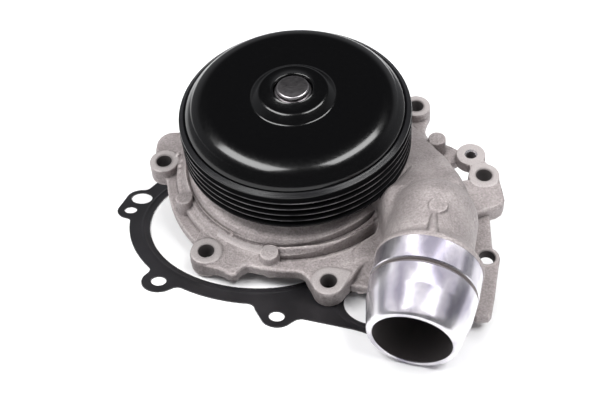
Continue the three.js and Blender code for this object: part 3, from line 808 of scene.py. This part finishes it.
def housing():
    vertices, faces = contour(housing_field, *HOUSING_BOX, HOUSING_CELL)
    corner = vertices[faces]
    middle = corner.mean(1)
    normal = np.cross(corner[:, 2] - corner[:, 0], corner[:, 3] - corner[:, 1])
    normal /= np.maximum(np.linalg.norm(normal, axis=1, keepdims=True), 1e-9)
    on_boss = np.zeros(len(faces), bool)
    for circle in BOLTS + [TAPPED_BOSS]:
        on_boss |= disc(middle, circle) < 0.2
    on_boss |= hull(middle, FRONT_BOSS) < 0.2
    parts = np.zeros(len(faces), int)
    parts[(middle[:, 2] > BOSS_TOP - 0.7) & on_boss & (normal[:, 2] > 0.6)] = 1
    parts[middle[:, 2] < 0.05] = 1
    rho = np.hypot(middle[:, 0], middle[:, 1])
    turn = np.degrees(np.arctan2(middle[:, 1], middle[:, 0]))
    # The faces in this band take the lighter machined finish, which paints a highlight on the carrier's wall.
    inner, outer, lowest, side, sweep = BAND_HIGHLIGHT_PAINT
    highlight_band = (rho > inner) & (rho < outer) & (middle[:, 2] > lowest)
    parts[highlight_band & (np.abs(turn - side) < sweep)] = 1
    mesh = mesh_from("housing_casting_look", vertices, faces, parts)
    return piece("housing_casting_look", mesh, PUMP, "root",
                 [CAST, MACHINED], ["housing_casting"])


def bolt_hole_walls():
    """The drilled walls of the flange holes, with their small chamfers."""
    for i, (x, y, _, top) in enumerate(BOLTS):
        r, rim = BOLT_HOLE_RADIUS, LINER_RADIUS + 0.15
        profile = [(r, top - 0.35), (r + 0.3, top + 0.04), (rim, top + 0.04), (rim, top - 0.6),
                   (rim, 0.02), (r - 0.3, 0.02), (r - 0.2, top / 2)]
        # The hole walls take the dark bore material, which paints the shade of the deep holes into their colour.
        mesh = turned_mesh(f"bolt_hole_wall_{i + 1}", profile, 64, [1, 1, 0, 0, 1, 0, 0])
        place = PUMP @ Matrix.Translation(Vector((x, y, 0)) * MM)
        piece(f"bolt_hole_wall_{i + 1}", mesh, place, "root", [BORE_SHADE_PAINT, MACHINED])


def tapped_thread():
    """The thread in the small boss: rings of crests and roots down the hole."""
    pitch, crest, root = 1.0, 2.2, 2.7
    wall = [(root, BOSS_TOP - 0.1), (TAPPED_RADIUS + 0.1, BOSS_TOP - 0.1),
            (TAPPED_RADIUS + 0.1, 1.6), (crest, 1.6)]
    for i in range(6):
        height = 2.0 + i * pitch
        wall += [(root, height + 0.3), (crest, height + 0.8)]
    # Every other thread flank takes the dark bore material: painted shade between the crests.
    parts = [0, 0, 0] + [1, 0] * 6 + [0]
    mesh = turned_mesh("tapped_hole_thread", wall, 48, parts, sharp=20)
    place = PUMP @ Matrix.Translation(Vector((*TAPPED_BOSS[:2], 0)) * MM)
    piece("tapped_hole_thread", mesh, place, "root", [POLISHED, BORE_SHADE_PAINT])


def outlet_spigot():
    """The turned hose outlet; heights are counted back from its end face, so they are negative."""
    profile = [
        (15.0, -34.0), (18.1, -34.2), (21.2, -34.2), (21.3, -33.6), (21.3, -23.7), (21.0, -23.3),
        (19.9, -22.9), (19.8, -22.1), (20.9, -21.7), (21.2, -21.2), (20.5, -13.2),
        (20.3, -12.6), (18.35, -4.0), (18.1, -3.0), (17.7, -1.6), (17.2, -0.6), (16.6, -0.12),
        (16.0, 0.0), (15.5, -0.15), (15.15, -0.5), (15.0, -1.0), (15.0, -8.0), (15.0, -20.0),
    ]
    # The bore inside the spigot and its hidden back face take the dark bore material: painted shade inside the
    # outlet.
    parts = [1, 1, 0, 0, 0, 2, 2, 2, 0, 0, 0, 0, 0, 0, 0, 0, 0, 0, 0, 1, 1, 1, 1]
    mesh = turned_mesh("outlet_spigot", profile, 192, parts, sharp=30)
    return piece("outlet_spigot", mesh, OUTLET, "root",
                 [POLISHED, BORE_SHADE_PAINT, MACHINED])


# ---- pulley and shaft ----------------------------------------------------------------------------
def pulley():
    """The turned pulley, from its lower rim up over the ribs and the dome and down inside."""
    outline, parts = [], []

    def add(points, part):
        for point in points:
            outline.append(point)
            parts.append(part)

    root = PULLEY_RADIUS - RIB_DEPTH
    add([(PULLEY_RADIUS - 0.5, PULLEY_BOTTOM - 0.9), (PULLEY_RADIUS, PULLEY_BOTTOM - 0.4)], 1)
    for i in range(RIB_COUNT):
        crest = PULLEY_BOTTOM + i * RIB_PITCH
        add([(PULLEY_RADIUS, crest + 0.3)], 2)
        add([(PULLEY_RADIUS - 0.2, crest + 0.5)], 2)
        if i < RIB_COUNT - 1:
            add([(root, crest + 1.45), (root, crest + RIB_PITCH - 1.45)], 2)
            add([(PULLEY_RADIUS - 0.2, crest + RIB_PITCH - 0.5)], 3)
            add([(PULLEY_RADIUS, crest + RIB_PITCH - 0.3)], 3)
    add([(49.45, 41.8), (49.3, 42.2)], 1)
    add([(47.6, 43.3), (47.4, 43.3)], 1)
    add([(47.0, 42.6), (46.95, 43.1)], 0)
    add([(45.8, 44.9), (44.1, 46.8)], 0)
    add([(43.75, 47.1)], 0)
    add(bend(outline[-1], 57, 38, 6.2, 4), 0)
    add(bend(outline[-1], 38, 22, 9.4, 5), 0)
    add(bend(outline[-1], 22, 2, 14, 8), 0)
    add([(28, 50.2), (20.4, 50.1)], 0)
    add(arc((18.7, 51.7), 1.6, 270, 215, 6), 0)
    add(arc((13.4, 50.9), 2.5, 48, 90, 8), 0)
    add([(9.6, 53.9)], 0)
    add(arc((9.0, 53.5), 0.7, 90, 180, 4), 0)
    add([(8.3, 51.0), (12.6, 51.0), (14.4, 48.2), (37.5, 48.0)], 0)
    add(arc((37.3, 41.9), 6.1, 90, 0, 6), 0)
    add([(43.6, PULLEY_BOTTOM - 0.9)], 0)
    mesh = turned_mesh("pulley_look", outline, 256, parts, sharp=30)
    return piece("pulley_look", mesh, PUMP, "rotor", [PAINT, BAND, RIB, CREST],
                 ["pulley"])


def shaft():
    profile = [(0, -10), (7.2, -10), (SHAFT_RADIUS, -9.2), (SHAFT_RADIUS, SHAFT_TOP - 2.6),
               (7.6, SHAFT_TOP - 2.2), (7.0, SHAFT_TOP - 2.1), (7.0, SHAFT_TOP - 0.8),
               (6.9, SHAFT_TOP - 0.55), (6.3, SHAFT_TOP - 0.05), (6.1, SHAFT_TOP),
               (0, SHAFT_TOP)]
    mesh = turned_mesh("shaft_look", profile, 96, sharp=30)
    return piece("shaft_look", mesh, PUMP, "rotor", [STEEL], ["shaft"])


# ---- gasket --------------------------------------------------------------------------------------
GASKET_BOX = (-71, -93, -0.6), (89.5, 71.5, 1.8)


def gasket_field(p):
    """The gasket sheet in its own frame, with a raised bead round both water openings."""
    z = p[:, 2]
    flat = disc(p, GASKET_DISC)
    for web in FLANGE_WEBS + [TAPPED_WEB]:
        flat = smooth_union(flat, hull(p, web), 2.5)
    openings = np.minimum(disc(p, GASKET_WATERWAY), disc(p, PORT))
    bead = BEAD_HEIGHT * np.exp(-((openings - BEAD_SET_BACK) / BEAD_WIDTH) ** 2)
    flat = np.maximum(flat, -openings)
    flat = np.maximum(flat, -disc(p, DOWEL_POCKET))
    for i, (x, y, *_) in enumerate(BOLTS):
        hole = LOCATING_HOLE if i == LEFT_BOLT else GASKET_HOLE
        flat = np.maximum(flat, -disc(p, (x, y, hole)))
    return np.maximum(flat, np.maximum(z - GASKET_HIGH - bead, GASKET_LOW - z))


def gasket():
    vertices, faces = contour(gasket_field, *GASKET_BOX, GASKET_CELL)
    mesh = mesh_from("gasket_look", vertices, faces, sharp=45)
    return piece("gasket_look", mesh, GASKET, "root", [GASKET_COAT], ["gasket"])


# ---- plain CAD pieces get their finishes ---------------------------------------------------------
FINISHES = {
    "bearing_steel": STEEL, "stainless": STAINLESS, "seal_rubber": RUBBER, "seal_carbon": CARBON,
    "seal_ceramic": CERAMIC, "impeller_plastic": PLASTIC, "cage_nylon": NYLON,
}


def dress_cad_nodes():
    """The inner pieces keep their CAD shapes and take the finish of their material slot."""
    slots = {s["node"]: s["material_slot"] for s in frame["record"]["subparts"]}
    for node, obj in frame["nodes"].items():
        finish = FINISHES.get(slots[node])
        if finish:
            obj.data.materials.clear()
            obj.data.materials.append(finish)


# ---- studio --------------------------------------------------------------------------------------
CAMERA_PLACE = (0, -298.97, 344.38)
CAMERA_LENS = 60
CAMERA_SENSOR = 36
KEY_RADIANCE = 11
GLOSS_RADIANCE = 22
FLOOR_HALF_WIDTH_M = 3.0


def floor():
    half = FLOOR_HALF_WIDTH_M
    vertices = np.array([(-half, -half, 0), (half, -half, 0), (half, half, 0), (-half, half, 0)])
    mesh = mesh_from("floor", vertices / MM, np.array([[0, 1, 2, 3]]))
    mesh.materials.append(material("white_floor", (0.93, 0.93, 0.935), roughness=0.6,
                                   Specular_IOR_Level=0.1))
    obj = bpy.data.objects.new("floor", mesh)
    bpy.context.scene.collection.objects.link(obj)


def softbox(name, azimuth, elevation, wide, high, radiance, color=(1, 1, 1), distance=3.0):
    """A rectangular light in a direction seen from the pump, sized by the angles it fills."""
    target = Vector((0, 0, 0.04))
    a, e = math.radians(azimuth), math.radians(elevation)
    way = Vector((math.cos(e) * math.cos(a), math.cos(e) * math.sin(a), math.sin(e)))
    data = bpy.data.lights.new(name, "AREA")
    data.shape = "RECTANGLE"
    data.size = 2 * distance * math.tan(math.radians(wide) / 2)
    data.size_y = 2 * distance * math.tan(math.radians(high) / 2)
    data.energy = radiance * math.pi * data.size * data.size_y
    data.color = color
    obj = bpy.data.objects.new(name, data)
    bpy.context.scene.collection.objects.link(obj)
    obj.location = target + way * distance
    obj.rotation_euler = way.to_track_quat("Z", "Y").to_euler()
    return obj


def fall_only_on(light, *names):
    """The light reaches these pieces alone, as a card held close to them would."""
    only = bpy.data.collections.new(light.name + "_receivers")
    for name in names:
        only.objects.link(bpy.data.objects[name])
    light.light_linking.receiver_collection = only


def spigot_light(name, direction, wide, high, radiance, color=(1, 1, 1)):
    """A light in a direction of the pump's frame, for the outlet spigot."""
    way = (PUMP.to_3x3() @ Vector(direction)).normalized()
    azimuth = math.degrees(math.atan2(way.y, way.x))
    elevation = math.degrees(math.asin(way.z))
    fall_only_on(softbox(name, azimuth, elevation, wide, high, radiance, color), "outlet_spigot")


def lights():
    """The soft lights; the glossy paint and the polished outlet have some of their own."""
    keys = {"left": (-155, 54, 40, 22), "right": (-38, 62, 38, 20)}
    bright = [obj.name for obj in bpy.context.scene.objects
              if obj.type == "MESH" and obj.name != "outlet_spigot"]
    for side, place in keys.items():
        fall_only_on(softbox(f"key_{side}", *place, KEY_RADIANCE), *bright)
        fall_only_on(softbox(f"gloss_{side}", *place, GLOSS_RADIANCE), "pulley_look")
    fall_only_on(softbox("fill_back", 62, 56, 50, 30, 2.8), "housing_casting_look", "floor")
    fall_only_on(softbox("fill_low", -158, 20, 44, 22, 3.4), "housing_casting_look")
    spigot_light("barrel_strip_left", (-0.125, 0.65, 0.75), 8, 50, 3.4)
    spigot_light("barrel_strip_right", (0.5, 0.48, 0.7), 8, 50, 2.8)
    spigot_light("cone_strip_left", (-0.2, 0.22, 0.95), 8, 34, 4)
    spigot_light("cone_strip_right", (0.36, 0.06, 0.93), 10, 46, 3.8)
    spigot_light("spigot_sky", (0.1, 0.5, 0.86), 130, 100, 0.85, (0.97, 0.94, 1))


def studio_world():
    """Soft sky light, brighter from behind the pump and gone overhead, over a faint even light."""
    world = bpy.data.worlds.new("studio")
    world.use_nodes = True
    tree = world.node_tree
    background = tree.nodes["Background"]
    background.inputs["Color"].default_value = (0.95, 0.96, 1, 1)
    direction = tree.nodes.new("ShaderNodeTexCoord").outputs["Generated"]
    split = tree.nodes.new("ShaderNodeSeparateXYZ")
    tree.links.new(direction, split.inputs[0])
    product = tree.nodes.new("ShaderNodeMath")
    product.operation = "MULTIPLY"
    for socket, axis, span in ((0, 2, (0.45, 0.7, 1, 0)), (1, 1, (-0.5, 0.2, 0.06, 0.3))):
        fade = tree.nodes.new("ShaderNodeMapRange")
        fade.interpolation_type = "SMOOTHSTEP"
        for key, value in zip(("From Min", "From Max", "To Min", "To Max"), span):
            fade.inputs[key].default_value = value
        tree.links.new(split.outputs[axis], fade.inputs["Value"])
        tree.links.new(fade.outputs["Result"], product.inputs[socket])
    total = tree.nodes.new("ShaderNodeMath")
    total.inputs[1].default_value = 0.04
    tree.links.new(product.outputs[0], total.inputs[0])
    tree.links.new(total.outputs[0], background.inputs["Strength"])
    bpy.context.scene.world = world


def camera():
    """A standard lens above the pump's front, looking down at it."""
    place = Vector(CAMERA_PLACE) * MM
    look = Vector((-0.002994, 0.635246, -0.772304))
    right = Vector((0.995817, -0.068638, -0.060318))
    up = right.cross(look)
    turn = Matrix((right, up, -look)).transposed().to_4x4()
    data = bpy.data.cameras.new("camera")
    data.lens = CAMERA_LENS
    data.sensor_width = CAMERA_SENSOR
    obj = bpy.data.objects.new("camera", data)
    bpy.context.scene.collection.objects.link(obj)
    obj.matrix_world = PUMP @ Matrix.Translation(place) @ turn
    bpy.context.scene.camera = obj


HOUSING_CELL = 0.5
GASKET_CELL = 0.45

housing()
bolt_hole_walls()
tapped_thread()
outlet_spigot()
pulley()
shaft()
gasket()
dress_cad_nodes()
floor()
lights()
studio_world()
camera()
bpy.context.scene.view_settings.view_transform = "Standard"
